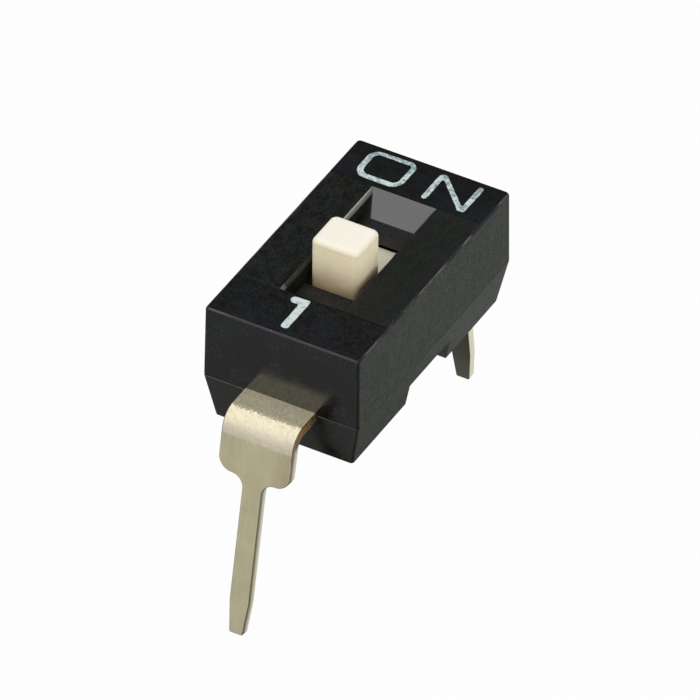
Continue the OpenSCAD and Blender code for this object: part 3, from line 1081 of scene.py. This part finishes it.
# %% [markdown]
# A mark is a loft through its own outline: up its wall, then in a little, so that its rim is soft.
# A letter with a hole is a ring, so its loft goes up the outside, in over the top, down the inside
# and closes under it. Extruding a curve would be quicker, but it gives no soft rim on a shape so thin.

# %% Marks
ink_t, ink_rim, ink_sunk = 0.020, 0.010, 0.002
band_z = top_z - band_step
ink_low, rim_z, ink_high = band_z - ink_sunk, band_z + ink_t - ink_rim / 2, band_z + ink_t


def at_height(outline, z, middle):
    """An outline as a ring of points at one height, round its own middle."""
    return [(point.x + middle[0], point.y + middle[1], z) for point in outline]


def mark(name, points, radii, middle):
    """A flat printed shape with a soft rim."""
    outline = wavy(rounded(points, radii))
    return loft(name, [
        at_height(outline, ink_low, middle), at_height(outline, rim_z, middle),
        at_height(shrunk(outline, ink_rim), ink_high, middle)])


print("the ink is", ink_t, "mm thick, on bands at", round(band_z, 3), "mm")

# %% [markdown]
# The letter O is a rounded block with a hole. Its four corners differ a little, as printed ones do,
# and the hole sits slightly off the middle.

# %% Letter O
letter_h, letter_w, stroke = 0.87, 1.03, 0.112
letter_margin, letter_x = 0.19, 0.74
letters_y = body_l / 2 - letter_margin - letter_h / 2
hole_shift_x, hole_shift_y = 0.016 / 3, 0.016
o_half_w, o_half_h = letter_w / 2, letter_h / 2
o_line = rounded(
    [(o_half_w, -o_half_h), (o_half_w, o_half_h), (-o_half_w, o_half_h), (-o_half_w, -o_half_h)],
    [0.26, 0.18, 0.24, 0.28])


def o_ring(inset, z):
    """A ring of the letter O; its hole sits a little high, so the lower stroke is the thicker one."""
    in_hole = inset > stroke / 2
    middle = (in_hole * hole_shift_x - letter_x, in_hole * hole_shift_y + letters_y)
    return at_height(wavy(shrunk(o_line, inset)), z, middle)


letter_o = loft("ink_letter_o", [
    o_ring(0, ink_low), o_ring(0, rim_z), o_ring(ink_rim, ink_high),
    o_ring(stroke - ink_rim, ink_high), o_ring(stroke, rim_z), o_ring(stroke, ink_low)], closed=True)
hand_over(letter_o, "housing", "on_legend", [thin_ink])

# %% [markdown]
# The letter N looks the same when it is turned half round, so five of its ten corners are given and
# the other five are the same points with their signs turned. The crossing is where the inner edge of
# the diagonal meets the inner edge of an upright.

# %% Letter N
diagonal_w = 1.32 * stroke
n_half_w, n_half_h = 0.48, 0.42
crossing = n_half_h * (1 - 2 * (2 * n_half_w - diagonal_w - stroke) / (2 * n_half_w - diagonal_w))
half_n = [(n_half_w, -n_half_h), (n_half_w, n_half_h), (n_half_w - stroke, n_half_h),
          (n_half_w - stroke, crossing), (diagonal_w - n_half_w, n_half_h)]
letter_n = mark(
    "ink_letter_n", half_n + [(-u, -v) for u, v in half_n],
    [0.035, 0.045, 0.045, 0.03, 0.05, 0.09, 0.045, 0.045, 0.03, 0.03], (letter_x, letters_y))
hand_over(letter_n, "housing", "on_legend", [thin_ink])

# %% [markdown]
# The position number is one upright stroke with a short flag at its top left, like the number on a
# rubber stamp: six corners are enough.

# %% Position number
number_half_h, number_stroke, flag_l, flag_h = 0.47, 0.163, 0.30, 0.185
number_margin = 0.22
number_middle = (-0.07, number_margin + number_half_h - body_l / 2)
number = mark("ink_number", [
    (-number_stroke / 2, -number_half_h), (number_stroke / 2, -number_half_h),
    (number_stroke / 2, number_half_h), (-flag_l, number_half_h),
    (-flag_l, number_half_h - flag_h), (-number_stroke / 2, number_half_h - flag_h)],
    [0.06, 0.06, 0.03, 0.085, 0.085, 0.06], number_middle)
hand_over(number, "housing", "number_legend", [ink])
